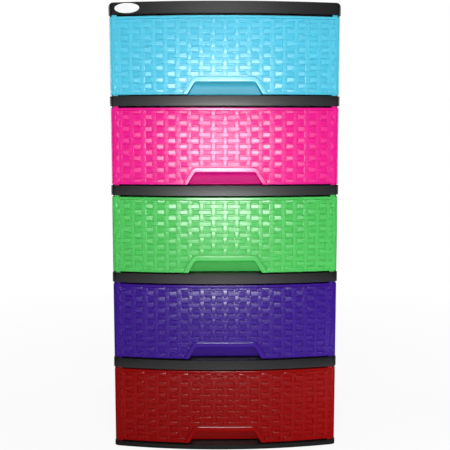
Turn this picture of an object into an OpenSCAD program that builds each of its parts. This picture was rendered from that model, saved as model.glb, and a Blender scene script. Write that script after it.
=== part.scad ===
// Five-drawer storage tower in moulded plastic: a dark frame of stacked tiers
// and five sliding drawers with bowed fronts.
// +Z is up, the drawers open towards -Y, and the origin is on the floor in the
// middle of the footprint. Tier 1 is the top one.

/* [Tower] */
// Overall width of the rails and the cover
tower_w = 400; // [350:5:450]
// Overall depth, from the apex of the bowed front to the back
tower_d = 400; // [350:5:450]
// How far the middle of the front stands ahead of its two ends
front_bow = 24; // [16:1:30]
// Radius of the two front corners, seen from above
front_corner_r = 10; // [8:1:14]
// Radius of the two back corners, seen from above
back_corner_r = 6; // [4:1:6]

/* [Tiers] */
// Height of the base frame
base_h = 8; // [8:1:16]
// Height of each divider between two drawers
rail_h = 16.5; // [15:0.5:24]
// Height of the top cover
cover_h = 20; // [20:1:30]
// Height of each drawer front
front_h = 133; // [110:1:160]
// Gap between a drawer front and the rail under it
gap_under = 2; // [1.5:0.25:3]
// Gap between a drawer front and the rail over it
gap_over = 3; // [2:0.25:5]

/* [Frame] */
// Thickness of the deck that closes each rail frame
deck_t = 2.2; // [1.8:0.1:3]
// Thickness of a rail along the front
rail_front_t = 4; // [3:0.5:8]
// How far the rails reach in past the panels that they seat
rail_lip = 2; // [1.5:0.25:4]
// Corner radius of the hollow under a deck
pocket_r = 4; // [2:1:6]
// Thickness of the ribs under a deck
rib_t = 2; // [1.5:0.25:3]
// Distance between the long ribs under a deck
rib_pitch = 120; // [105:1:130]
// How far the ribs stay above the lower edge of their rail
rib_lift = 1.5; // [1:0.5:2.5]
// Depth of the shallow tray in the top of the cover
cover_dish = 1.5; // [1:0.25:2.5]
// Width of the rim round that tray
cover_rim = 14; // [10:1:24]
// Radius of the cover's two upper edges, seen from the front
cover_edge_r = 9; // [4:1:12]

/* [Panels] */
// Thickness of the side and back panels
panel_t = 3; // [2.5:0.25:4]
// How far the panels stand inside the rails' outer faces
panel_inset = 2; // [1.5:0.25:2.5]
// Thickness of the tongues that seat the panels
tongue_t = 1.8; // [1.5:0.1:2]
// Height of the tongues
tongue_h = 4; // [3:0.25:4.5]
// How far a tongue stops short of its panel's ends
tongue_end = 12; // [8:1:20]
// Clearance of a tongue in its groove
groove_gap = 0.2; // [0.1:0.05:0.3]
// Depth of the flat field in a panel's outer face
field_depth = 0.8; // [0.5:0.1:1]
// Width of the border round that field
field_border = 14; // [10:1:24]

/* [Runners] */
// Width of the ledge that carries a drawer's flange
ledge_w = 11; // [8:0.5:12]
// Thickness of the ledge
ledge_t = 3; // [2:0.25:4]
// Width of the rib that keeps the flange down
guide_w = 9; // [7:0.5:11]
// Thickness of that rib
guide_t = 3; // [2:0.25:3.25]
// Play between the flange and the guide rib over it
guide_gap = 1; // [0.5:0.1:1.2]
// Play between a drawer and the ledge that it slides on
slide_gap = 0.3; // [0.2:0.05:0.5]
// Play between a flange and the side panel
flange_play = 2; // [1:0.25:3]

/* [Drawer tray] */
// Wall thickness of the tray
tray_wall = 2; // [1.6:0.1:3]
// Floor thickness of the tray
tray_floor = 2; // [1.6:0.1:3]
// Height of the tray's floor over the deck under it
tray_lift = 4; // [3:0.25:8]
// Corner radius of the tray, seen from above
tray_r = 8; // [5:1:14]
// Width of the flanges that hang the tray on its ledges
flange_w = 12; // [10:0.5:14]
// Thickness of the flanges
flange_t = 2.5; // [2:0.25:3]
// Gap between the tray and the back panel
tray_back_gap = 10; // [8:1:20]
// How far a drawer slides out before its tabs meet the stop
travel = 285; // [200:1:290]
// Width of each stop tab on the back of the tray
tab_w = 20; // [12:1:26]
// Distance of each stop tab from the middle
tab_x = 60; // [40:1:70]
// How far a stop tab reaches up behind the stop
tab_rise = 7; // [5:0.5:9]

/* [Drawer front] */
// How far a drawer front stands inside the rails' outer faces
front_set = 1; // [0.5:0.1:1.5]
// Depth of the patterned field below the front's smooth rim
field_set = 1.2; // [0.8:0.1:1.6]
// Wall thickness of the front behind the field
front_wall = 2.8; // [2:0.1:3.5]
// Thickness of the front's top and bottom edges
edge_t = 2.2; // [1.8:0.1:3]
// Height of the smooth rim along the top and bottom
rim_h = 4.5; // [3:0.5:8]
// Width of the smooth rim at each end
rim_w = 9; // [6:0.5:12]
// Distance from the ends of the bow back to the tray's face
front_back_gap = 5; // [4:0.5:10]
// How far the side returns reach back past the tray's face
return_reach = 12; // [8:1:20]
// Length of the small lugs at the front's corners
lug_w = 9; // [6:1:16]
// Distance of the lugs from the front's ends
lug_end = 4; // [4:0.5:10]

/* [Finger notch] */
// Width of the finger notch at its open bottom
notch_w = 130; // [90:1:160]
// Width of the finger notch at its top
notch_top_w = 104; // [80:1:130]
// Height of the finger notch
notch_h = 21.5; // [16:0.5:30]
// Radius of the notch's two upper corners
notch_r = 5.5; // [3:0.5:8]
// Width of the smooth border at the notch's sides
border_side = 8; // [5:0.5:12]
// Height of the smooth border over the notch
border_top = 9.5; // [5:0.5:14]
// Thickness of the walls of the finger recess
recess_wall = 2.5; // [2:0.1:3]

/* [Clips] */
// Distance of the clips that hold a front on its tray from the middle
clip_x = 140; // [110:1:150]
// Distance of the clips from the front's top and bottom edges
clip_end = 28; // [18:1:40]
// Width of a clip
clip_w = 8; // [6:0.5:12]
// Thickness of a clip's arm
clip_t = 2; // [1.5:0.1:2.5]
// How far a clip's head stands up behind the tray's wall
clip_catch = 1.2; // [0.8:0.1:1.8]
// Length of a clip's head
clip_head = 3.5; // [2.5:0.25:5]
// Clearance round a clip
clip_gap = 0.3; // [0.2:0.05:0.4]

/* [Label] */
// Width of the blank oval label on the cover
label_w = 43; // [30:1:50]
// Height of the blank oval label
label_h = 17; // [10:0.5:18]
// Thickness of the label
label_t = 0.7; // [0.5:0.1:1]
// Distance of the label's middle from the tower's left side
label_x = 33; // [30:1:60]

/* [Hidden] */
tiers = 5;
half_w = tower_w/2;
half_d = tower_d/2;
eps = 0.5;
small_r = 0.5;
bow_steps = 32;
corner_steps = 8;
label_steps = 48;

// The front is an arc through its apex and the two ends of the bow
bow_r = (half_w*half_w + front_bow*front_bow)/(2*front_bow);
bow_y = bow_r - half_d;

// Heights of a tier
opening_h = gap_under + front_h + gap_over;
tier_h = opening_h + rail_h;
cover_z = base_h + tiers*opening_h + (tiers - 1)*rail_h;

// Panels and runners
panel_in = half_w - panel_inset - panel_t;
panel_mid = panel_in + panel_t/2;
panel_end = half_d - panel_inset;
groove_t = tongue_t + 2*groove_gap;
groove_h = tongue_h + groove_gap;
rail_side_t = panel_inset + panel_t + rail_lip;
tray_half = panel_in - flange_play - flange_w;
flange_edge = tray_half + flange_w;

// Depths of a drawer
tray_front = front_bow + front_back_gap - half_d;
tray_back = panel_end - panel_t - tray_back_gap;
return_y = tray_front + return_reach;
tray_h = gap_under + front_h - edge_t - tray_lift;
flange_z = tray_lift + tray_h - flange_t;
ledge_z = flange_z - slide_gap;
guide_z = flange_z + flange_t + guide_gap;
panel_front = return_y + slide_gap;
stop_y = tray_back - tray_wall - travel - slide_gap;
field_in = front_set + field_set;
wall_in = field_in + front_wall;

frame_color = [0.19, 0.19, 0.2];
label_color = [0.93, 0.94, 0.95];
drawer_colors = [
    [0.35, 0.77, 0.91],
    [0.92, 0.17, 0.56],
    [0.3, 0.78, 0.37],
    [0.27, 0.16, 0.53],
    [0.55, 0.06, 0.06]
];

tier_numbers = [1:tiers];

// Lower face of tier n's opening
function tier_z(n) = base_h + (tiers - n)*tier_h;

// Points on an arc, with the angle measured from -Y towards +X
function arc(cx, cy, r, from, to, steps, skip = 0) =
    [for (i = [skip:steps - skip])
        let (a = from + (to - from)*i/steps) [cx + r*sin(a), cy - r*cos(a)]];

// Plan of the tower, drawn in from its sides, its bowed front and its back
function plan(side, front, back, front_r, back_r) =
    let (
        r = bow_r - front,
        fx = half_w - side - front_r,
        fy = bow_y - sqrt(pow(r - front_r, 2) - fx*fx),
        turn = asin(fx/(r - front_r)),
        bx = half_w - side - back_r,
        by = half_d - back - back_r
    )
    concat(
        arc(0, bow_y, r, -turn, turn, bow_steps, 1),
        arc(fx, fy, front_r, turn, 90, corner_steps),
        arc(bx, by, back_r, 90, 180, corner_steps),
        arc(-bx, by, back_r, 180, 270, corner_steps),
        arc(-fx, fy, front_r, 270, 360 - turn, corner_steps)
    );

// The same plan drawn in evenly all round
function plan_inset(by) =
    plan(by, by, by, max(front_corner_r - by, small_r), max(back_corner_r - by, small_r));

// Half of the finger notch from its top corner down, grown outwards by a border
function notch_half(side, top, drop) =
    let (
        slope = (notch_w - notch_top_w)/(2*notch_h),
        lean = atan(slope),
        foot = notch_w/2 + side/cos(lean),
        h = notch_h + top,
        r = notch_r + min(side, top),
        cx = foot - slope*(h - r) - r/cos(lean)
    )
    concat(
        [[foot + slope*drop, -drop]],
        [for (i = [0:corner_steps])
            let (a = lean + (90 - lean)*i/corner_steps) [cx + r*cos(a), h - r + r*sin(a)]]
    );

function notch_outline(side, top, drop) =
    let (right = notch_half(side, top, drop), last = len(right) - 1)
    concat(right, [for (i = [0:last]) [-right[last - i][0], right[last - i][1]]]);

module plan_block(by, h) {
    linear_extrude(h) polygon(plan_inset(by));
}

// A block between two corners
module block(low, high) {
    translate(low) cube(high - low);
}

// The same block on both sides of the middle plane
module both_sides() {
    children();
    mirror([1, 0, 0]) children();
}

// A notch outline standing upright, from one depth to another
module notch_block(side, top, drop, from_y, to_y) {
    translate([0, to_y, 0]) rotate([90, 0, 0])
        linear_extrude(to_y - from_y) polygon(notch_outline(side, top, drop));
}

// Grooves for the tongues of one tier's panels, cut upwards from z
module grooves(z) {
    h = groove_h + eps;
    both_sides()
        block([panel_mid - groove_t/2, panel_front + tongue_end - groove_gap, z],
              [panel_mid + groove_t/2, panel_end - tongue_end + groove_gap, z + h]);
    reach = panel_in - tongue_end + groove_gap;
    back_mid = panel_end - panel_t/2;
    block([-reach, back_mid - groove_t/2, z], [reach, back_mid + groove_t/2, z + h]);
}

// Long ribs, and the cross rib that stops the drawers under it
module ribs(depth, with_stop) {
    for (x = [-rib_pitch, 0, rib_pitch])
        block([x - rib_t/2, -half_d, rib_lift], [x + rib_t/2, half_d, depth + eps]);
    if (with_stop)
        block([-half_w, stop_y - rib_t, rib_lift], [half_w, stop_y, depth + eps]);
}

// The open hollow under a deck
module pocket(depth, with_stop) {
    difference() {
        translate([0, 0, -eps])
            linear_extrude(depth + eps)
                polygon(plan(rail_side_t, rail_front_t, rail_side_t, pocket_r, pocket_r));
        ribs(depth, with_stop);
    }
}

module base_frame() {
    color(frame_color) difference() {
        plan_block(0, base_h);
        pocket(base_h - deck_t, false);
        grooves(base_h - groove_h);
    }
}

module divider(n) {
    color(frame_color) translate([0, 0, tier_z(n) - rail_h]) difference() {
        plan_block(0, rail_h);
        pocket(rail_h - deck_t, true);
        grooves(rail_h - groove_h);
        grooves(-eps);
    }
}

// Front view of the cover: a strip with two round upper corners
module cover_profile() {
    rx = half_w - cover_edge_r;
    rz = cover_h - cover_edge_r;
    polygon(concat(
        [[half_w, -eps]],
        [for (i = [0:corner_steps])
            let (a = 90*i/corner_steps) [rx + cover_edge_r*cos(a), rz + cover_edge_r*sin(a)]],
        [for (i = [0:corner_steps])
            let (a = 90 + 90*i/corner_steps) [cover_edge_r*cos(a) - rx, rz + cover_edge_r*sin(a)]],
        [[-half_w, -eps]]
    ));
}

module top_cover() {
    color(frame_color) translate([0, 0, cover_z]) difference() {
        intersection() {
            plan_block(0, cover_h);
            translate([0, half_d + eps, 0]) rotate([90, 0, 0])
                linear_extrude(tower_d + 2*eps) cover_profile();
        }
        translate([0, 0, cover_h - cover_dish])
            linear_extrude(cover_dish + eps)
                polygon(plan(cover_rim, cover_rim, cover_rim, cover_edge_r, cover_edge_r));
        pocket(cover_h - cover_dish - deck_t, true);
        grooves(-eps);
    }
}

module oval_label() {
    color(label_color) intersection() {
        translate([label_x - half_w, 0, cover_z + cover_h/2]) rotate([90, 0, 0])
            linear_extrude(half_d) polygon([for (i = [0:label_steps - 1])
                let (a = 360*i/label_steps) [label_w/2*cos(a), label_h/2*sin(a)]]);
        translate([0, 0, cover_z]) difference() {
            plan_block(-label_t, cover_h);
            translate([0, 0, -eps]) plan_block(0, cover_h + 2*eps);
        }
    }
}

// The right-hand panel of a tier, with its runner ledge and guide rib
module side_panel(n) {
    outer = panel_in + panel_t;
    tongue_in = panel_mid - tongue_t/2;
    color(frame_color) translate([0, 0, tier_z(n)]) {
        difference() {
            block([panel_in, panel_front, 0], [outer, panel_end, opening_h]);
            block([outer - field_depth, panel_front + field_border, field_border],
                  [outer + eps, panel_end - field_border, opening_h - field_border]);
        }
        block([tongue_in, panel_front + tongue_end, -tongue_h],
              [tongue_in + tongue_t, panel_end - tongue_end, opening_h + tongue_h]);
        block([panel_in - ledge_w, panel_front, ledge_z - ledge_t],
              [panel_in + eps, panel_end - panel_t - slide_gap, ledge_z]);
        block([panel_in - guide_w, panel_front, guide_z],
              [panel_in + eps, panel_end - panel_t - slide_gap, guide_z + guide_t]);
    }
}

module side_panel_right(n) {
    side_panel(n);
}

module side_panel_left(n) {
    mirror([1, 0, 0]) side_panel(n);
}

module back_panel(n) {
    reach = panel_in - groove_gap;
    tongue_y = panel_end - panel_t/2 - tongue_t/2;
    color(frame_color) translate([0, 0, tier_z(n)]) {
        difference() {
            block([-reach, panel_end - panel_t, 0], [reach, panel_end, opening_h]);
            block([field_border - reach, panel_end - field_depth, field_border],
                  [reach - field_border, panel_end + eps, opening_h - field_border]);
        }
        block([tongue_end - panel_in, tongue_y, -tongue_h],
              [panel_in - tongue_end, tongue_y + tongue_t, opening_h + tongue_h]);
    }
}

// A rectangle with round corners, from a half width and two depths
function tray_plan(half, front, back, r) =
    concat(
        arc(half - r, front + r, r, 0, 90, corner_steps),
        arc(half - r, back - r, r, 90, 180, corner_steps),
        arc(r - half, back - r, r, 180, 270, corner_steps),
        arc(r - half, front + r, r, 270, 360, corner_steps)
    );

// Heights of the clips above the opening's lower face
function clip_heights() = [gap_under + clip_end, gap_under + front_h - clip_end];

module clip_slots() {
    for (z = clip_heights())
        both_sides()
            block([clip_x - clip_w/2 - clip_gap, tray_front - eps, z - clip_gap],
                  [clip_x + clip_w/2 + clip_gap, tray_front + tray_wall + eps, z + clip_t + clip_gap]);
}

module drawer_tray(n) {
    color(drawer_colors[n - 1]) translate([0, 0, tier_z(n)]) {
        difference() {
            translate([0, 0, tray_lift])
                linear_extrude(tray_h) polygon(tray_plan(tray_half, tray_front, tray_back, tray_r));
            translate([0, 0, tray_lift + tray_floor])
                linear_extrude(tray_h)
                    polygon(tray_plan(tray_half - tray_wall, tray_front + tray_wall,
                                      tray_back - tray_wall, tray_r - tray_wall));
            clip_slots();
        }
        both_sides() {
            block([tray_half - tray_wall/2, tray_front + tray_r, flange_z],
                  [flange_edge, tray_back - tray_r, flange_z + flange_t]);
            block([tab_x - tab_w/2, tray_back - tray_wall, flange_z],
                  [tab_x + tab_w/2, tray_back, opening_h + tab_rise]);
        }
    }
}

// The bowed shell of a drawer front, open behind, with its field sunk in the rim
module front_shell() {
    difference() {
        intersection() {
            plan_block(front_set, front_h);
            block([-half_w, -half_d, 0], [half_w, return_y, front_h]);
        }
        translate([0, 0, edge_t]) plan_block(wall_in, front_h - 2*edge_t);
        block([wall_in - half_w, tray_front, -eps],
              [half_w - wall_in, return_y + eps, front_h - edge_t]);
        block([wall_in - half_w, tray_front + tray_wall, -eps],
              [half_w - wall_in, return_y + eps, front_h + eps]);
        difference() {
            block([front_set + rim_w - half_w, -half_d, rim_h],
                  [half_w - front_set - rim_w, tray_front, front_h - rim_h]);
            translate([0, 0, -eps]) plan_block(field_in, front_h + 2*eps);
            notch_block(border_side, border_top, eps, -half_d - eps, tray_front + eps);
        }
    }
}

// Walls of the finger recess behind the notch
module recess_walls() {
    intersection() {
        plan_block(front_set, front_h);
        notch_block(recess_wall, recess_wall, 0, -half_d, tray_front);
    }
}

// The uprights behind the front, which rest on the tray and carry the clips
module clip_posts() {
    head_y = tray_front + tray_wall + clip_gap;
    intersection() {
        plan_block(field_in + front_wall/2, front_h);
        both_sides()
            block([clip_x - rib_t/2, -half_d, edge_t/2], [clip_x + rib_t/2, tray_front, front_h - edge_t/2]);
    }
    for (h = clip_heights()) {
        z = h - gap_under;
        both_sides() {
            block([clip_x - clip_w/2, tray_front - rib_t, z],
                  [clip_x + clip_w/2, head_y + clip_head, z + clip_t]);
            block([clip_x - clip_w/2, head_y, z],
                  [clip_x + clip_w/2, head_y + clip_head, z + clip_t + clip_gap + clip_catch]);
        }
    }
}

// Small lugs that keep a front centred between its rails
module corner_lugs() {
    outer = half_w - front_set - lug_end;
    intersection() {
        translate([0, 0, -gap_under]) difference() {
            plan_block(field_in, opening_h);
            translate([0, 0, -eps]) plan_block(wall_in, opening_h + 2*eps);
        }
        both_sides() {
            block([outer - lug_w, -half_d, slide_gap - gap_under], [outer, tray_front, edge_t/2]);
            block([outer - lug_w, -half_d, front_h - edge_t/2],
                  [outer, tray_front, front_h + gap_over - slide_gap]);
        }
    }
}

module drawer_front(n) {
    color(drawer_colors[n - 1]) translate([0, 0, tier_z(n) + gap_under]) {
        difference() {
            union() {
                front_shell();
                recess_walls();
            }
            notch_block(0, 0, eps, -half_d - eps, tray_front - recess_wall);
        }
        clip_posts();
        corner_lugs();
    }
}

top_cover();
oval_label();
base_frame();
for (n = [1:tiers - 1])
    divider(n);
for (n = tier_numbers) {
    side_panel_left(n);
    side_panel_right(n);
    back_panel(n);
    drawer_tray(n);
    drawer_front(n);
}
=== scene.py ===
import math

import bmesh
import bpy
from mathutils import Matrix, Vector


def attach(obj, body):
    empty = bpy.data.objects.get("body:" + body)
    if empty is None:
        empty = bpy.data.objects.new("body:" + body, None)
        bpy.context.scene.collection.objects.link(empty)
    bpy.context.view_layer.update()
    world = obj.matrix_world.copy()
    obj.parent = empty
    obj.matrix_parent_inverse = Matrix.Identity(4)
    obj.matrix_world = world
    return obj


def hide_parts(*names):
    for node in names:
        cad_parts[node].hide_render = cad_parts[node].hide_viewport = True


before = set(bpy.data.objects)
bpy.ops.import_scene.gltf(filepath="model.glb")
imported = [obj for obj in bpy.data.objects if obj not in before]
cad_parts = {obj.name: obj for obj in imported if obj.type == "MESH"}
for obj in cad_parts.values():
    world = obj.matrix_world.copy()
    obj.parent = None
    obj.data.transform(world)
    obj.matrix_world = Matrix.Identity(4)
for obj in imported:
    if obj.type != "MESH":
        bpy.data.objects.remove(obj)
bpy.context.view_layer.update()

mm = 0.001
tiny = 0.01 * mm  # places closer than this count as the same

# Sizes of the tower, as its frame has them
tower = {
    "halfWidth": 200 * mm,
    "halfDepth": 200 * mm,
    "bow": 24 * mm,
    "cornerRadius": 10 * mm,
    "tiers": 5,
    "baseHeight": 8 * mm,
    "tierHeight": 154.5 * mm,
    "opening": 138 * mm,
    "gapUnder": 2 * mm,
}
bowRadius = (tower["halfWidth"] ** 2 + tower["bow"] ** 2) / (2 * tower["bow"])
bowCentre = bowRadius - tower["halfDepth"]
cornerX = tower["halfWidth"] - tower["cornerRadius"]
cornerTurn = math.asin(cornerX / (bowRadius - tower["cornerRadius"]))
cornerY = bowCentre - math.sqrt((bowRadius - tower["cornerRadius"]) ** 2 - cornerX**2)

# Sizes of one drawer front; heights are measured from its lower edge
front = {
    "height": 133 * mm,
    "inset": 1 * mm,  # how far it stands inside the rails
    "edgeRadius": 1.5 * mm,
    "edgeSteps": 4,
    "wall": 4 * mm,  # thickness at the rim
    "plate": 2.2 * mm,
    "bulge": 2.5 * mm,  # the middle of its height stands ahead of its rims by a little less
    "plateBack": -169 * mm,
    "footBack": -171 * mm,
    "returnBack": -159 * mm,
    "returnIn": 195 * mm,
    "rimHeight": 4.5 * mm,
    "rimWidth": 9 * mm,
    "rimSlope": 0.35 * mm,
    "polishedRim": 4.7 * mm,
    "polishedEnd": 190 * mm,
    "endFade": 14 * mm,  # along its ends, over which the bulge runs out
    "fieldStep": 3 * mm,  # last grid line of the woven field before its end
    "cornerShares": (0, 0.17, 0.34, 0.5, 0.67, 0.83, 1),  # grid lines round its corners
    "beyond": 1 * mm,  # a grid line this far beyond an edge stands for the back of a plate
    "holeHalf": 76 * mm,  # hole in the inner side, behind the notch
    "holeTop": 34 * mm,
    "innerRows": (18 * mm, 66 * mm, 100 * mm),  # level lines of the plain inner side
    "innerSteps": (6, 9),  # its upright lines over half the hole and from there to the field's end
}
arcRadius = bowRadius - front["inset"]
bowLength = arcRadius * cornerTurn
cornerLength = (tower["cornerRadius"] - front["inset"]) * (math.pi / 2 - cornerTurn)
outlineLength = bowLength + cornerLength + front["returnBack"] - cornerY
fieldEnd = arcRadius * math.asin((tower["halfWidth"] - front["inset"] - front["rimWidth"]) / arcRadius)

# The moulded basket weave
weave = {
    "depth": 1.5 * mm,  # from the rim down to the ground between the strands
    "columns": 9,  # on each side of the middle one
    "columnPitch": 20.35 * mm,
    "columnHalf": 3.1 * mm,
    "columnBend": 7.2,  # an upright strand falls by this times the distance from its top squared
    "rows": 13,
    "rowPitch": 10.2 * mm,
    "rowMiddle": 66.0 * mm,
    "rowHalf": 3.5 * mm,
    "rowFlat": 4.2 * mm,  # a level strand is flat this far from its top
    "rowFall": 0.096,  # and then falls evenly
    "rowCrown": 2.0,  # and across it by this times the distance squared
    "shoulder": 0.4 * mm,  # radius of a strand's long edges
    "barHalf": 0.65 * mm,
    "barHeight": 0.8 * mm,  # over the ground
    "gap": 2.0 * mm,  # between an upright strand and the ends of bars and level strands
    "gapSide": 0.5 * mm,  # width of that gap's slanted sides
    "gapDepth": 0.25 * mm,  # under the ground
    "ditch": 1.7 * mm,  # ground left free round the notch's border
    "ditchSide": 0.5 * mm,
    "ditchDepth": 2.3 * mm,  # behind the rim
}
cutReach = 2.5 * mm  # how far beside a cut its faces are looked for

# The finger notch with its raised border and the recess behind it
notch = {
    "width": 130 * mm,
    "topWidth": 104 * mm,
    "height": 21.5 * mm,
    "radius": 5.5 * mm,
    "borderSide": 8 * mm,
    "borderTop": 9.5 * mm,
    "overlap": 0.8 * mm,  # how far the field runs under the border
    # across the border from its outer edge: share of its width left, depth behind the rim
    "border": ((1, 2.8 * mm), (1, 1.2 * mm), (0.98, 0.7 * mm), (0.945, 0.41 * mm), (0.89, 0.16 * mm),
               (0.835, 0.04 * mm), (0.78, 0.0), (0.35, 0.0), (0.24, 0.02 * mm)),
    "lip": 1.3 * mm,  # radius of the rounded inner edge
    "lipDepth": 0.04 * mm,  # behind the rim
    "lipSteps": 4,
    "wall": 2.0 * mm,
    "back": -173.5 * mm,
    "taper": 1.4 * mm,  # the recess is this much narrower at its back
    "backLean": 0.2,  # its back leans forwards by this share of the height
    "cove": 6.5 * mm,  # and bends forwards over this much at the top
    "coveSteps": 6,
    "coveDepth": 4.5 * mm,
    "foot": 1.5 * mm,  # and has a small slanted foot of this height
    "footDepth": 1.6 * mm,
    "sidePoint": 5 * mm,  # the outline has a point on its sides at this height
    "cornerSteps": 8,
    "topSteps": 20,
}


def outlinePoint(s, inset):
    # a place on the drawer front's outline, s along it from the middle, and how far in from the rails
    side = 1 if s >= 0 else -1
    s = abs(s)
    if s <= bowLength:
        turn = s / arcRadius
        radius = bowRadius - inset
        x, y = radius * math.sin(turn), bowCentre - radius * math.cos(turn)
    elif s <= bowLength + cornerLength:
        turn = cornerTurn + (s - bowLength) / (tower["cornerRadius"] - front["inset"])
        radius = tower["cornerRadius"] - inset
        x, y = cornerX + radius * math.sin(turn), cornerY - radius * math.cos(turn)
    else:
        x, y = tower["halfWidth"] - inset, cornerY + s - bowLength - cornerLength
    return side * x, y


def edgeInset(z):
    # how far the rounded upper and lower edges draw back at a height
    radius = front["edgeRadius"]
    near = min(z, front["height"] - z)
    if near >= radius:
        return 0.0
    near = max(near, 0.0)
    return radius - math.sqrt(max(radius**2 - (radius - near) ** 2, 0.0))


def strandHeight(across, half, fall):
    # height of a strand over the ground after its fall from the top, or nothing beside it
    if across > half + tiny:
        return 0.0
    edge = max(1 - (half - across) / weave["shoulder"], 0.0)
    return max(weave["depth"] - fall - weave["shoulder"] * (1 - math.sqrt(max(1 - edge**2, 0.0))), 0.0)


def weaveRise(s, z):
    # height of the relief over the ground: upright strands, level strands and the bars between two rows
    column = round(s / weave["columnPitch"])
    row = round((z - weave["rowMiddle"]) / weave["rowPitch"])
    acrossColumn = abs(s - column * weave["columnPitch"])
    acrossRow = abs(z - weave["rowMiddle"] - row * weave["rowPitch"])
    rise = 0.0
    if abs(column) <= weave["columns"] and 0 < acrossColumn - weave["columnHalf"] < weave["gap"] - tiny:
        rise = -weave["gapDepth"] if acrossColumn - weave["columnHalf"] > tiny else 0.0
    elif abs(column) <= weave["columns"]:
        # the upright strand is on top where column and row differ by an odd number
        alongRow = (z - weave["rowMiddle"]) / weave["rowPitch"] - column
        away = abs((alongRow + 2) % 2 - 1) * weave["rowPitch"]
        rise = strandHeight(acrossColumn, weave["columnHalf"], weave["columnBend"] * away**2)
    alongColumn = s / weave["columnPitch"] - row
    away = abs((alongColumn + 1) % 2 - 1) * weave["columnPitch"]
    reach = weave["columnPitch"] - weave["columnHalf"] - weave["gap"]
    if away < reach + tiny:
        fall = weave["rowFall"] * max(away - weave["rowFlat"], 0.0) + weave["rowCrown"] * acrossRow**2
        rise = max(rise, strandHeight(acrossRow, weave["rowHalf"], fall))
    besideBar = weave["rowPitch"] / 2 - acrossRow
    barStart = weave["columnHalf"] + weave["gap"]
    if besideBar < weave["barHalf"] + tiny and acrossColumn > barStart - tiny:
        rise = max(rise, weave["barHeight"])
    return rise


def reliefInset(s, z):
    # how far the woven field stands back from the rim at a place
    low = min(z, front["height"] - z) - front["rimHeight"]
    end = fieldEnd - abs(s)
    edge = min(low, end) / front["rimSlope"]
    if edge <= 0:
        return 0.0
    if insideOutline(ditchOutline, s, z):
        return weave["ditchDepth"] * min(edge, 1.0)
    return (weave["depth"] - (weaveRise(s, z) if edge >= 1 else 0.0)) * min(edge, 1.0)


def notchOutline(side, top):
    # the notch's outline from the right foot over the top to the left foot, grown by its border
    slope = (notch["width"] - notch["topWidth"]) / (2 * notch["height"])
    lean = math.atan(slope)
    foot = notch["width"] / 2 + side / math.cos(lean)
    height = notch["height"] + top
    radius = notch["radius"] + min(side, top)
    centre = foot - slope * (height - radius) - radius / math.cos(lean)
    edge = front["edgeRadius"]
    right = [(foot - slope * z, z) for z in (0.0, 0.12 * edge, 0.5 * edge, edge)]
    right.append((foot - slope * notch["sidePoint"], notch["sidePoint"]))
    for i in range(notch["cornerSteps"] + 1):
        a = lean + (math.pi / 2 - lean) * i / notch["cornerSteps"]
        right.append((centre + radius * math.cos(a), height - radius + radius * math.sin(a)))
    steps = notch["topSteps"]
    for i in range(1, steps // 2):
        right.append((centre * (1 - 2 * i / steps), height))
    left = [(-x, z) for x, z in reversed(right)]
    return right + [(0.0, height)] + left


def insideOutline(outline, s, z):
    # rays upwards from a point cross a closed outline an odd number of times when it is inside
    if z < outline[0][1]:
        return abs(s) < outline[0][0]
    inside = False
    for (ax, az), (bx, bz) in zip(outline, outline[1:] + outline[:1]):
        if (ax > s) != (bx > s) and z < az + (bz - az) * (s - ax) / (bx - ax):
            inside = not inside
    return inside


def grownOutline(extra):
    # the outline of the notch's border, grown by a little more
    return notchOutline(notch["borderSide"] + extra, notch["borderTop"] + extra)


ditchOutline = grownOutline(weave["ditch"] + 2 * tiny)


def shoulderLines(half):
    # grid lines over the rounded long edge of a strand
    return [half - weave["shoulder"] * share for share in (1, 0.5, 0.12, 0)]


def gridLines():
    # places of the grid's upright lines along the outline
    half = weave["columnHalf"]
    strand = [0] + shoulderLines(half)
    start, pitch = half + weave["gap"], weave["columnPitch"]
    between = [half + weave["gapSide"], start - weave["gapSide"], start, start + (pitch / 2 - start) * 0.5]
    between += [pitch - d for d in between] + [pitch / 2]
    lines = set()
    for column in range(-weave["columns"], weave["columns"] + 1):
        centre = column * weave["columnPitch"]
        lines.update(centre + d * side for d in strand for side in (-1, 1))
        if column < weave["columns"]:
            lines.update(centre + d for d in between)
    steps = (0, front["rimSlope"], front["fieldStep"])
    lines.update(side * (fieldEnd - d) for side in (-1, 1) for d in steps)
    ends = [bowLength + cornerLength * f for f in front["cornerShares"]] + [outlineLength]
    lines.update(side * d for side in (-1, 1) for d in ends)
    return sorted(lines)


def gridRows():
    # heights of the grid's level lines
    half, bar = weave["rowHalf"], weave["rowPitch"] / 2 - weave["barHalf"]
    offsets = [0, half * 0.3, half * 0.6] + shoulderLines(half) + [(half + bar) / 2, bar]
    rows = set()
    for row in range(-(weave["rows"] // 2), weave["rows"] // 2 + 1):
        centre = weave["rowMiddle"] + row * weave["rowPitch"]
        rows.update(centre + d * side for d in offsets for side in (-1, 1))
    edge, rim, slope = front["edgeRadius"], front["rimHeight"], front["rimSlope"]
    keep = {z for z in rows if rim + slope < z < front["height"] - rim - slope}
    for i in range(front["edgeSteps"] + 1):
        z = edge * (1 - math.cos(math.pi / 2 * i / front["edgeSteps"]))
        keep.update((z, front["height"] - z))
    keep.update((rim, rim + slope, front["height"] - rim, front["height"] - rim - slope))
    keep.update((-front["beyond"], front["height"] + front["beyond"]))
    return sorted(keep)


def bulgeInset(z):
    # how far the bulge draws back from its middle at a height; the rims stand upright
    z = min(max(z, front["rimHeight"]), front["height"] - front["rimHeight"])
    return front["bulge"] * (2 * z / front["height"] - 1) ** 2


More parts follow.
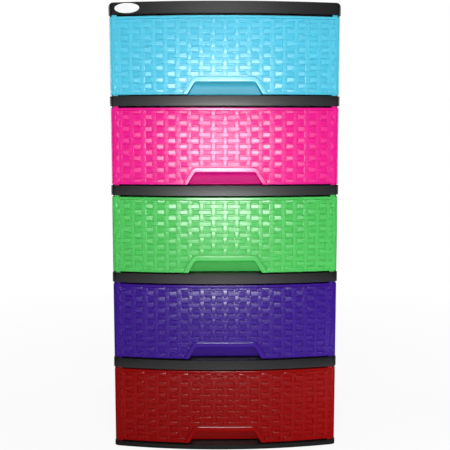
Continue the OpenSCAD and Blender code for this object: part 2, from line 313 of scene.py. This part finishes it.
def bendPoint(s, z, inner=False):
    # from the flat pattern to the bowed front; the inner side is plain
    height = front["height"]
    if inner:
        level = min(max(z, front["plate"]), height - front["plate"])
        x, y = outlinePoint(s, front["inset"] + front["wall"] + bulgeInset(level) * endFade(s))
    else:
        level = min(max(z, 0.0), height)
        x, y = outlinePoint(s, front["inset"] + bulgeInset(level) * endFade(s) + edgeInset(level)
                            + reliefInset(s, level))
    if z < 0 or z > height:  # the plates reach straight back
        back = front["footBack"] if z < 0 else front["plateBack"]
        if abs(x) > front["returnIn"] - tiny:
            x = math.copysign(front["returnIn"], x)
            y = min(max(y, back), front["returnBack"])
        else:
            y = back
    return Vector((x, y, level))


def endFade(s):
    # the front is straight up and down at its ends
    return min(max((bowLength + cornerLength - abs(s)) / front["endFade"], 0.0), 1.0)


def cutAlong(bm, path):
    # cuts the flat pattern along a line of points
    for a, b in zip(path, path[1:]):
        a, b = Vector((*a, 0)), Vector((*b, 0))
        middle, reach = (a + b) / 2, (b - a).length / 2 + cutReach
        near = [f for f in bm.faces if (f.calc_center_median() - middle).length < reach]
        geom = list({v for f in near for v in f.verts}) + list({e for f in near for e in f.edges}) + near
        normal = (b - a).cross(Vector((0, 0, 1))).normalized()
        bmesh.ops.bisect_plane(bm, geom=geom, dist=1e-6, plane_co=a, plane_no=normal)


def layGrid(bm, lines, rows, level):
    # a flat grid with its lines where they are asked for
    made = bmesh.ops.create_grid(bm, x_segments=len(lines) - 1, y_segments=len(rows) - 1, size=0.5)["verts"]
    for v in made:
        v.co = Vector((lines[round((v.co.x + 0.5) * (len(lines) - 1))],
                       rows[round((v.co.y + 0.5) * (len(rows) - 1))], level))
    return made


def cutNotch(bm):
    # cuts the ditch's edges into the flat pattern and takes out what the notch's border covers
    for extra in (weave["ditch"] + weave["ditchSide"], weave["ditch"]):
        cutAlong(bm, grownOutline(extra))
    outline = grownOutline(-notch["overlap"])
    foot, past = outline[0][0], front["beyond"]
    cutAlong(bm, [(foot, -past)] + outline + [(-foot, -past)])
    closed = [(foot, -2 * past)] + outline + [(-foot, -2 * past)]
    inner = [f for f in bm.faces if insideOutline(closed, *f.calc_center_median().xy)]
    bmesh.ops.delete(bm, geom=inner, context="FACES")


def addInnerSide(bm):
    # a coarse grid one level down with a hole behind the notch, joined to the outer side all round
    made = bmesh.ops.extrude_edge_only(bm, edges=[e for e in bm.edges if e.is_boundary])["geom"]
    skirt = [g for g in made if isinstance(g, bmesh.types.BMVert)]
    holeX, holeTop, plate, height = (front[k] for k in ("holeHalf", "holeTop", "plate", "height"))
    overHole, besideHole = front["innerSteps"]
    step = (fieldEnd - holeX) / besideHole
    half = [holeX * f / overHole for f in range(overHole + 1)]
    half += [holeX + step * f for f in range(1, besideHole + 1)]
    half += [bowLength, bowLength + cornerLength * 0.5, bowLength + cornerLength, outlineLength]
    lines = sorted({d * side for d in half for side in (-1, 1)})
    rows = sorted([plate, holeTop, height - plate, *front["innerRows"]])
    coarse = layGrid(bm, lines, [-front["beyond"]] + rows + [height + front["beyond"]], -1.0)
    hole = [f for f in {f for v in coarse for f in v.link_faces}
            if abs(f.calc_center_median().x) < holeX and f.calc_center_median().y < holeTop]
    bmesh.ops.delete(bm, geom=hole, context="FACES")
    rim = [v for v in coarse if v.is_valid and v.is_boundary]
    for v in skirt:
        nearest = min(rim, key=lambda r: (r.co.xy - v.co.xy).length_squared)
        v.co = nearest.co.copy()
    bmesh.ops.remove_doubles(bm, verts=skirt + rim, dist=1e-6)


def makeFace():
    # the front's woven face with its rounded edges, plates and side returns, and a plain inner side
    bm = bmesh.new()
    layGrid(bm, gridLines(), gridRows(), 0.0)
    cutNotch(bm)
    addInnerSide(bm)
    for v in bm.verts:
        v.co = bendPoint(v.co.x, v.co.y, v.co.z < -0.5)
    bmesh.ops.remove_doubles(bm, verts=bm.verts[:], dist=1e-6)
    bmesh.ops.dissolve_degenerate(bm, edges=bm.edges[:], dist=1e-7)
    bmesh.ops.recalc_face_normals(bm, faces=bm.faces[:])
    for face in bm.faces:
        spot = face.calc_center_median()
        onRim = min(spot.z, front["height"] - spot.z) < front["polishedRim"]
        face.material_index = int(onRim or abs(spot.x) > front["polishedEnd"])
    return bm


def makeBorder():
    # the smooth raised border round the notch, its rounded lip and the finger recess
    side, top, lip = notch["borderSide"], notch["borderTop"], notch["lip"]
    rings = [(side * f, top * f, depth) for f, depth in notch["border"]]
    for i in range(notch["lipSteps"] + 1):
        a = math.pi / 2 * i / notch["lipSteps"]
        grow = lip * (1 - math.sin(a))
        rings.append((grow, grow, lip * (1 - math.cos(a)) + notch["lipDepth"]))
    bm = bmesh.new()

    def place(verts, ring):
        grow, rise, depth = ring
        for v, (s, z) in zip(verts, notchOutline(grow, rise)):
            # the border doesn't lean back
            upright = bulgeInset(max(z, notch["height"] + notch["borderTop"]))
            x, y = outlinePoint(s, front["inset"] + depth + upright + edgeInset(z))
            v.co = Vector((x, y, z))

    verts = [bm.verts.new() for _ in notchOutline(0, 0)]
    edges = [bm.edges.new(pair) for pair in zip(verts, verts[1:])]
    place(verts, rings[0])

    def nextRing(edges, verts):
        new = bmesh.ops.extrude_edge_only(bm, edges=edges)["geom"]
        newEdges = [g for g in new if isinstance(g, bmesh.types.BMEdge)]
        newVerts = {g for g in new if isinstance(g, bmesh.types.BMVert)}
        # the extruded vertices come paired with the old ones through the side edges
        pair = {v: other for v in verts for e in v.link_edges if (other := e.other_vert(v)) in newVerts}
        return newEdges, [pair[v] for v in verts]

    for ring in rings[1:]:
        edges, verts = nextRing(edges, verts)
        place(verts, ring)
    edges, verts = nextRing(edges, verts)
    place(verts, (-notch["taper"], -notch["taper"], 0))
    for v in verts:
        v.co.y = notch["back"]
    made = bmesh.ops.contextual_create(bm, geom=edges + [bm.edges.new((verts[0], verts[-1]))])["faces"]
    top, cove = notch["height"] - notch["taper"], notch["cove"]
    turns = [math.pi / 2 * i / notch["coveSteps"] for i in range(1, notch["coveSteps"])]
    levels = [notch["foot"]] + [top - cove * math.cos(a) for a in turns] + [top - cove]
    for level in levels:
        geom = made + list({e for f in made for e in f.edges}) + list({v for f in made for v in f.verts})
        bmesh.ops.bisect_plane(bm, geom=geom, dist=1e-7, plane_co=(0, 0, level), plane_no=(0, 0, 1))
        made = [f for f in bm.faces if all(abs(v.co.y - notch["back"]) < 1e-7 for v in f.verts)]
    for v in {v for f in made for v in f.verts}:
        high = max(v.co.z - (top - cove), 0.0) / cove
        low = max(notch["foot"] - v.co.z, 0.0) / notch["foot"]
        v.co.y -= notch["coveDepth"] * (1 - math.sqrt(max(1 - high**2, 0.0))) + notch["footDepth"] * low
        v.co.y -= notch["backLean"] * v.co.z
    bm.normal_update()
    if sum(f.normal.y * f.calc_area() for f in bm.faces) > 0:
        bmesh.ops.reverse_faces(bm, faces=bm.faces[:])
    bmesh.ops.solidify(bm, geom=bm.faces[:], thickness=notch["wall"])
    for face in bm.faces:
        face.material_index = 1
    return bm


# What joins a front to its tray, and the lugs that centre it
fitting = {
    "postX": 140 * mm,
    "postHalf": 1 * mm,
    "postInto": 0.5 * mm,  # the posts reach this far into the front's wall
    "clipEnd": 28 * mm,
    "clipHalf": 4 * mm,
    "clipThick": 2 * mm,
    "trayFront": -171 * mm,
    "headFront": -168.7 * mm,
    "headBack": -165.2 * mm,
    "headRise": 1.5 * mm,
    "lugIn": 187.6 * mm,
    "lugOut": 197.4 * mm,
    "lugInset": 2.3 * mm,
    "lugDepth": 2.0 * mm,
    "lugUnder": 1.5 * mm,
    "lugOver": 2.4 * mm,
    "round": 0.3 * mm,
}


def addBlock(bm, low, high, rounding):
    # a block between two corners, with rounded edges
    made = bmesh.ops.create_cube(bm, size=1)["verts"]
    size = [b - a for a, b in zip(low, high)]
    bmesh.ops.scale(bm, vec=size, verts=made)
    bmesh.ops.translate(bm, vec=[(a + b) / 2 for a, b in zip(low, high)], verts=made)
    edges = list({e for v in made for e in v.link_edges})
    bmesh.ops.bevel(bm, geom=edges, offset=rounding, affect="EDGES", segments=2, profile=0.5, material=-1)


def makeFittings():
    # posts and clips that hold the tray, and a lug in each corner
    bm = bmesh.new()
    height, wall = front["height"], front["plate"]
    for side in (-1, 1):
        x = side * fitting["postX"]
        wallY = outlinePoint(x, front["inset"] + front["wall"] - fitting["postInto"])[1]
        addBlock(bm, (x - fitting["postHalf"], wallY, wall / 2),
                 (x + fitting["postHalf"], fitting["trayFront"], height - wall / 2), fitting["round"])
        for z in (fitting["clipEnd"], height - fitting["clipEnd"]):
            low = (x - fitting["clipHalf"], fitting["trayFront"] - fitting["clipThick"], z)
            addBlock(bm, low, (x + fitting["clipHalf"], fitting["headBack"], z + fitting["clipThick"]),
                     fitting["round"])
            top = z + fitting["clipThick"] + fitting["headRise"]
            addBlock(bm, (low[0], fitting["headFront"], z + fitting["clipThick"] / 2),
                     (x + fitting["clipHalf"], fitting["headBack"], top), fitting["round"])
        inner, outer = fitting["lugIn"], fitting["lugOut"]
        below = (-fitting["lugUnder"], wall / 2)
        above = (height - wall / 2, height + fitting["lugOver"])
        for low, high in (below, above):
            made = bmesh.ops.create_grid(bm, x_segments=4, y_segments=1, size=0.5)["verts"]
            spots = [v.co.copy() for v in made]
            for v, spot in zip(made, spots):
                s = side * (inner + (spot.x + 0.5) * (outer - inner))
                inset = front["inset"] + fitting["lugInset"] + (spot.y + 0.5) * fitting["lugDepth"]
                v.co = Vector((*outlinePoint(s, inset), low))
            faces = list({f for v in made for f in v.link_faces})
            top = bmesh.ops.extrude_face_region(bm, geom=faces)["geom"]
            lifted = [g for g in top if isinstance(g, bmesh.types.BMVert)]
            bmesh.ops.translate(bm, vec=(0, 0, high - low), verts=lifted)
    bmesh.ops.recalc_face_normals(bm, faces=bm.faces[:])
    return bm


sharpAngle = 45  # edges of a front that turn by more stay sharp


def makePiece(name, parts, lift, body, materials, nodes):
    # one visual piece made of its parts, lifted to its tier
    mesh = bpy.data.meshes.new(name)
    whole = bmesh.new()
    for part in parts:
        whole.from_mesh(part)
    bmesh.ops.translate(whole, vec=(0, 0, lift), verts=whole.verts[:])
    whole.to_mesh(mesh)
    whole.free()
    mesh.shade_smooth()
    mesh.set_sharp_from_angle(angle=math.radians(sharpAngle))
    piece = bpy.data.objects.new(name, mesh)
    bpy.context.scene.collection.objects.link(piece)
    weighted = piece.modifiers.new("weightedNormals", "WEIGHTED_NORMAL")
    weighted.keep_sharp = True
    for material in materials:
        mesh.materials.append(material)
    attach(piece, body)
    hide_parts(*nodes)


# The drawers' plastics from the top one down: the colour as it is written, the roughness and the IOR
plastics = {
    "blue": {"colour": (0.083, 0.54, 0.73), "roughness": 0.3, "ior": 1.65},
    "pink": {"colour": (0.79, 0.009, 0.26), "roughness": 0.3, "ior": 1.65},
    "green": {"colour": (0.069, 0.50, 0.097), "roughness": 0.3, "ior": 1.65},
    "purple": {"colour": (0.036, 0.006, 0.222), "roughness": 0.27, "ior": 1.6},
    "red": {"colour": (0.228, 0.001, 0.001), "roughness": 0.22, "ior": 1.5},
}
woven = {"grain": 260, "grainHeight": 0.03 * mm, "drift": 0.05}
polished = {"grain": 260, "grainHeight": 0.01 * mm, "drift": 0.05}
polishedShare = 0.75  # roughness of the rims, the borders and the recesses, times the weave's
charcoal = {
    "colour": (0.007, 0.007, 0.008), "roughness": 0.42,
    "grain": 900, "grainHeight": 0.08 * mm, "drift": 0.12,
}
coverGloss = 0.48
# painted light on the rails: the tone shares lighten each rail's colour along its lower edge as painted
# highlight and darken it along its upper edge as painted shade; the roughness shares change its gloss
railPaintedSheenAndGloss = {  # at a rail's lower and upper edge
    "tone": (2.8, 0.4),
    "roughness": (0.85, 1.2),
    "shift": 0.5 * mm,  # the cut between two tiers, over the rail's upper edge
}
label = {
    "colour": (0.86, 0.87, 0.88), "roughness": 0.22,
    "grain": 300, "grainHeight": 0.02 * mm, "drift": 0.02,
}
skin = {
    "driftScale": 9,
    "driftDetail": 3,
    "driftLift": 0.02,  # lifts the paler tone of dark colours
    "grainDetail": 4,
    "uneven": (0.85, 1.15),  # the roughness varies between these shares of its value
    "bumpStrength": 0.25,
}


def driftingTone(nodes, links, place, colour, drift):
    # slow drift in tone
    slow = nodes.new("ShaderNodeTexNoise")
    slow.inputs["Scale"].default_value = skin["driftScale"]
    slow.inputs["Detail"].default_value = skin["driftDetail"]
    links.new(place.outputs["Object"], slow.inputs["Vector"])
    tone = nodes.new("ShaderNodeMix")
    tone.data_type = "RGBA"
    tone.inputs["A"].default_value = (*[c * (1 - drift) for c in colour], 1)
    paler = [min(c * (1 + drift) + drift * skin["driftLift"], 1) for c in colour]
    tone.inputs["B"].default_value = (*paler, 1)
    links.new(slow.outputs["Fac"], tone.inputs["Factor"])
    return tone.outputs["Result"]


def paintSheenAndGlossOverRail(nodes, links, place, tone, dullness, paintedSheenAndGlossShares):
    # a rail's colour gets painted highlight towards its lower edge and painted shade towards its upper
    # edge, and its roughness changes over its height, the same on every tier
    split = nodes.new("ShaderNodeSeparateXYZ")
    links.new(place.outputs["Object"], split.inputs["Vector"])
    wrap = nodes.new("ShaderNodeMath")
    wrap.operation = "WRAP"
    wrap.inputs[1].default_value = tower["baseHeight"] + tower["tierHeight"] + paintedSheenAndGlossShares["shift"]
    wrap.inputs[2].default_value = tower["baseHeight"] + paintedSheenAndGlossShares["shift"]
    links.new(split.outputs["Z"], wrap.inputs[0])
    ramp = {}
    for key in ("tone", "roughness"):
        ramp[key] = nodes.new("ShaderNodeMapRange")
        ramp[key].inputs["From Min"].default_value = tower["baseHeight"] + tower["opening"]
        ramp[key].inputs["From Max"].default_value = tower["baseHeight"] + tower["tierHeight"]
        ramp[key].inputs["To Min"].default_value = paintedSheenAndGlossShares[key][0]
        ramp[key].inputs["To Max"].default_value = paintedSheenAndGlossShares[key][1]
        links.new(wrap.outputs[0], ramp[key].inputs["Value"])
    # painted highlight and shade: the rail's colour times its share at that height
    paintedSheenAndShade = nodes.new("ShaderNodeMix")
    paintedSheenAndShade.data_type = "RGBA"
    paintedSheenAndShade.blend_type = "MULTIPLY"
    paintedSheenAndShade.inputs["Factor"].default_value = 1
    links.new(tone, paintedSheenAndShade.inputs["A"])
    links.new(ramp["tone"].outputs["Result"], paintedSheenAndShade.inputs["B"])
    both = nodes.new("ShaderNodeMath")
    both.operation = "MULTIPLY"
    links.new(dullness, both.inputs[0])
    links.new(ramp["roughness"].outputs["Result"], both.inputs[1])
    return paintedSheenAndShade.outputs["Result"], both.outputs[0]


def mouldedPlastic(name, colour, roughness, grain, grainHeight, drift, ior=1.5, gloss=0.5, paintedSheenAndGlossShares=None):
    # moulded plastic: slow drift in tone, a fine skin and slightly uneven roughness, and on the rails
    # painted highlight and shade over their height
    material = bpy.data.materials.new(name)
    material.use_nodes = True
    nodes, links = material.node_tree.nodes, material.node_tree.links
    shader = nodes["Principled BSDF"]
    place = nodes.new("ShaderNodeTexCoord")
    tone = driftingTone(nodes, links, place, colour, drift)

    fine = nodes.new("ShaderNodeTexNoise")
    fine.inputs["Scale"].default_value = grain
    fine.inputs["Detail"].default_value = skin["grainDetail"]
    links.new(place.outputs["Object"], fine.inputs["Vector"])
    uneven = nodes.new("ShaderNodeMapRange")
    low, high = skin["uneven"]
    uneven.inputs["To Min"].default_value = roughness * low
    uneven.inputs["To Max"].default_value = roughness * high
    links.new(fine.outputs["Fac"], uneven.inputs["Value"])
    dullness = uneven.outputs["Result"]
    # on the rails: painted highlight along the lower edge, painted shade along the upper edge
    if paintedSheenAndGlossShares:
        tone, dullness = paintSheenAndGlossOverRail(nodes, links, place, tone, dullness, paintedSheenAndGlossShares)
    links.new(tone, shader.inputs["Base Color"])
    links.new(dullness, shader.inputs["Roughness"])
    shader.inputs["Specular IOR Level"].default_value = gloss

    bump = nodes.new("ShaderNodeBump")
    bump.inputs["Strength"].default_value = skin["bumpStrength"]
    bump.inputs["Distance"].default_value = grainHeight
    links.new(fine.outputs["Fac"], bump.inputs["Height"])
    links.new(bump.outputs["Normal"], shader.inputs["Normal"])
    shader.inputs["IOR"].default_value = ior
    return material


softEdge = {"angle": 35, "segments": 2}  # edges sharper than this angle are rounded and stay sharp
softWidth = {"rails": 0.5 * mm, "panels": 0.4 * mm, "label": 0.25 * mm, "trays": 0.4 * mm}


def dressNode(node, material, width):
    # a CAD part keeps its shape and gets softer edges, smooth bows and its plastic
    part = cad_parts[node]
    part.data.materials.clear()
    part.data.materials.append(material)
    weld = part.modifiers.new("weld", "WELD")
    weld.merge_threshold = 1e-6
    bevel = part.modifiers.new("softEdges", "BEVEL")
    bevel.width = width
    bevel.segments = softEdge["segments"]
    bevel.limit_method = "ANGLE"
    bevel.angle_limit = math.radians(softEdge["angle"])
    bevel.use_clamp_overlap = True
    smooth = part.modifiers.new("smooth", "NODES")
    smooth.node_group = smoothGroup
    weighted = part.modifiers.new("weightedNormals", "WEIGHTED_NORMAL")
    weighted.keep_sharp = True


def makeSmoothGroup(angle):
    # smooth shading with sharp edges kept over an angle
    group = bpy.data.node_groups.new("smoothByAngle", "GeometryNodeTree")
    group.interface.new_socket("Geometry", in_out="INPUT", socket_type="NodeSocketGeometry")
    group.interface.new_socket("Geometry", in_out="OUTPUT", socket_type="NodeSocketGeometry")
    nodes, links = group.nodes, group.links
    start, end = nodes.new("NodeGroupInput"), nodes.new("NodeGroupOutput")
    faces = nodes.new("GeometryNodeSetShadeSmooth")
    faces.domain = "FACE"
    edges = nodes.new("GeometryNodeSetShadeSmooth")
    edges.domain = "EDGE"
    corner = nodes.new("GeometryNodeInputMeshEdgeAngle")
    flat = nodes.new("FunctionNodeCompare")
    flat.operation = "LESS_EQUAL"
    flat.inputs["B"].default_value = math.radians(angle)
    links.new(corner.outputs["Unsigned Angle"], flat.inputs["A"])
    links.new(start.outputs["Geometry"], faces.inputs["Geometry"])
    links.new(faces.outputs["Geometry"], edges.inputs["Geometry"])
    links.new(flat.outputs["Result"], edges.inputs["Shade Smooth"])
    links.new(edges.outputs["Geometry"], end.inputs["Geometry"])
    return group


smoothGroup = makeSmoothGroup(softEdge["angle"])
framePlastic = mouldedPlastic("charcoalPlastic", **charcoal, gloss=coverGloss)
# the rails' plastic carries painted highlight low and painted shade high on every tier
railPlastic = mouldedPlastic("railPlastic", **charcoal, paintedSheenAndGlossShares=railPaintedSheenAndGloss)
labelPlastic = mouldedPlastic("labelWhite", **label)
drawerPlastic = {key: mouldedPlastic(key + "Plastic", **look, **woven) for key, look in plastics.items()}
smoothPlastic = {}
for key, look in plastics.items():
    smoother = {**look, "roughness": look["roughness"] * polishedShare}
    smoothPlastic[key] = mouldedPlastic(key + "Polished", **smoother, **polished)
print("plastics ready")

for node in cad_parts:
    if node.startswith(("top_cover", "base_frame")):
        dressNode(node, framePlastic, softWidth["rails"])
    elif node.startswith("divider"):
        dressNode(node, railPlastic, softWidth["rails"])
    elif node.startswith(("side_panel", "back_panel")):
        dressNode(node, framePlastic, softWidth["panels"])
dressNode("oval_label", labelPlastic, softWidth["label"])
tierColours = list(plastics)
for tier in range(1, tower["tiers"] + 1):
    dressNode(f"drawer_tray_{tier}", drawerPlastic[tierColours[tier - 1]], softWidth["trays"])
print("frame dressed")

parts = []
for build in (makeFace, makeBorder, makeFittings):
    bm = build()
    part = bpy.data.meshes.new(build.__name__)
    bm.to_mesh(part)
    print(build.__name__, len(part.polygons), "faces")
    bm.free()
    parts.append(part)
for tier in range(1, tower["tiers"] + 1):
    key = tierColours[tier - 1]
    lift = tower["baseHeight"] + (tower["tiers"] - tier) * tower["tierHeight"] + tower["gapUnder"]
    makePiece(f"wovenFront_{tier}", parts, lift, f"drawer_{tier}",
              [drawerPlastic[key], smoothPlastic[key]], [f"drawer_front_{tier}"])
print("drawer fronts made")

# Floor, room and lamps; lengths here are in metres
studio = {
    "floorHalf": 6.0,
    "floorColour": (0.9, 0.9, 0.9),
    "floorInGloss": (0.02, 0.02, 0.02),
    "floorRoughness": 0.9,
    "floorGloss": 0.1,
    "glowNear": 0.9,  # share of the floor's own white near the tower
    "glowStart": 0.5,
    "glowFull": 1.6,
    "fill": 0.1,  # light from the room
    "room": 0.02,  # what gloss sees of it in front
    "behind": 0.4,  # and behind the tower
    "behindStart": 0.2,
    "behindFull": 0.9,
}
sideLamp = {"power": 9.0, "size": (0.8, 1.0), "target": (0, 0.1, 0.4), "seen": False}
# the last three stand beside and behind the tower, out of the photograph's view
lamps = {
    "keyPanel": {"power": 17.0, "size": (0.62, 0.4),
                 "place": (-0.02, -1.72, 0.52), "target": (0, -0.2, 0.42)},
    "highPanel": {"power": 7.0, "size": (1.0, 0.4),
                  "place": (0, -1.15, 1.75), "target": (0, -0.2, 0.4)},
    "topPanel": {"power": 9.0, "size": (1.2, 1.2),
                 "place": (0, 0.1, 2.2), "target": (0, 0, 0.4)},
    "lowPanel": {"power": 0.6, "size": (0.2, 0.06), "gleam": False, "seen": False,
                 "place": (0.46, -0.42, 0.045), "target": (0.1, -0.18, 0.05)},
    "leftPanel": {**sideLamp, "place": (-1.7, 0.75, 0.8)},
    "rightPanel": {**sideLamp, "place": (1.7, 0.75, 0.8)},
    "backPanel": {"power": 7.0, "size": (1.0, 0.8), "seen": False,
                  "place": (0, 1.9, 1.0), "target": (0, 0.2, 0.4)},
}


def whiteForCamera(nodes, links):
    # 1 for rays from the camera and see-through rays, 0 for all others
    path = nodes.new("ShaderNodeLightPath")
    both = nodes.new("ShaderNodeMath")
    both.operation = "MAXIMUM"
    links.new(path.outputs["Is Camera Ray"], both.inputs[0])
    links.new(path.outputs["Is Transmission Ray"], both.inputs[1])
    return both.outputs[0]


def makeFloor():
    bm = bmesh.new()
    bmesh.ops.create_grid(bm, x_segments=1, y_segments=1, size=studio["floorHalf"])
    mesh = bpy.data.meshes.new("floor")
    bm.to_mesh(mesh)
    bm.free()
    floor = bpy.data.objects.new("floor", mesh)
    bpy.context.scene.collection.objects.link(floor)
    material = bpy.data.materials.new("paleFloor")
    material.use_nodes = True
    nodes, links = material.node_tree.nodes, material.node_tree.links
    shader = nodes["Principled BSDF"]
    dim = nodes.new("ShaderNodeMix")  # reflections on the tower see a dimmer floor
    dim.data_type = "RGBA"
    dim.inputs["A"].default_value = (*studio["floorColour"], 1)
    dim.inputs["B"].default_value = (*studio["floorInGloss"], 1)
    links.new(nodes.new("ShaderNodeLightPath").outputs["Is Glossy Ray"], dim.inputs["Factor"])
    links.new(dim.outputs["Result"], shader.inputs["Base Color"])
    shader.inputs["Roughness"].default_value = studio["floorRoughness"]
    shader.inputs["Specular IOR Level"].default_value = studio["floorGloss"]
    glow = nodes.new("ShaderNodeEmission")
    blend = nodes.new("ShaderNodeMixShader")
    seen = whiteForCamera(nodes, links)
    share = nodes.new("ShaderNodeMath")
    share.operation = "MULTIPLY"
    # the floor is white to the eye, with a soft shadow near the tower only
    place = nodes.new("ShaderNodeTexCoord")
    reach = nodes.new("ShaderNodeVectorMath")
    reach.operation = "LENGTH"
    links.new(place.outputs["Object"], reach.inputs[0])
    ramp = nodes.new("ShaderNodeMapRange")
    ramp.interpolation_type = "SMOOTHSTEP"
    ramp.inputs["From Min"].default_value = studio["glowStart"]
    ramp.inputs["From Max"].default_value = studio["glowFull"]
    ramp.inputs["To Min"].default_value = studio["glowNear"]
    ramp.inputs["To Max"].default_value = 1.0
    links.new(reach.outputs["Value"], ramp.inputs["Value"])
    links.new(ramp.outputs["Result"], share.inputs[1])
    links.new(seen, share.inputs[0])
    links.new(share.outputs[0], blend.inputs["Fac"])
    links.new(shader.outputs["BSDF"], blend.inputs[1])
    links.new(glow.outputs["Emission"], blend.inputs[2])
    links.new(blend.outputs["Shader"], nodes["Material Output"].inputs["Surface"])
    mesh.materials.append(material)


def makeWorld():
    world = bpy.data.worlds.new("studio")
    world.use_nodes = True
    bpy.context.scene.world = world
    nodes, links = world.node_tree.nodes, world.node_tree.links
    background = nodes["Background"]
    place = nodes.new("ShaderNodeTexCoord")
    split = nodes.new("ShaderNodeSeparateXYZ")
    links.new(place.outputs["Generated"], split.inputs["Vector"])
    # in gloss the room is dim where the camera stands and paler behind the tower
    behind = nodes.new("ShaderNodeMapRange")
    behind.inputs["From Min"].default_value = studio["behindStart"]
    behind.inputs["From Max"].default_value = studio["behindFull"]
    behind.inputs["To Min"].default_value = studio["room"]
    behind.inputs["To Max"].default_value = studio["behind"]
    links.new(split.outputs["Y"], behind.inputs["Value"])
    seen = whiteForCamera(nodes, links)
    path = nodes.new("ShaderNodeLightPath")
    glossy = nodes.new("ShaderNodeMix")
    glossy.inputs["A"].default_value = studio["fill"]
    links.new(path.outputs["Is Glossy Ray"], glossy.inputs["Factor"])
    links.new(behind.outputs["Result"], glossy.inputs["B"])
    strength = nodes.new("ShaderNodeMix")
    strength.inputs["B"].default_value = 1.0
    links.new(seen, strength.inputs["Factor"])
    links.new(glossy.outputs["Result"], strength.inputs["A"])
    background.inputs["Color"].default_value = (1, 1, 1, 1)
    links.new(strength.outputs["Result"], background.inputs["Strength"])


def addLamp(name, power, size, place, target, gleam=True, seen=True):
    data = bpy.data.lights.new(name, "AREA")
    data.shape = "RECTANGLE"
    data.size, data.size_y = size
    data.energy = power
    lamp = bpy.data.objects.new(name, data)
    lamp.location = place
    lamp.visible_glossy = gleam
    lamp.visible_camera = seen
    lamp.rotation_euler = (Vector(target) - Vector(place)).to_track_quat("-Z", "Y").to_euler()
    bpy.context.scene.collection.objects.link(lamp)


makeFloor()
makeWorld()
for name, lamp in lamps.items():
    addLamp(name, **lamp)
print("studio ready")

# The camera stands where the photograph was taken from
view = {
    "place": (-0.0181, -1.6036, 0.5642),
    "down": 0.1134,
    "turn": 0.0127,
    "roll": 0.0005,
    "lens": 65.2,
    "sensor": 36,
    "reach": 50,
}
cameraData = bpy.data.cameras.new("camera")
cameraData.lens = view["lens"]
cameraData.sensor_width = view["sensor"]
cameraData.clip_end = view["reach"]
camera = bpy.data.objects.new("camera", cameraData)
camera.location = view["place"]
camera.rotation_euler = (math.pi / 2 - view["down"], view["roll"], -view["turn"])
bpy.context.scene.collection.objects.link(camera)
bpy.context.scene.camera = camera
bpy.context.scene.view_settings.view_transform = "Standard"
print("camera placed")
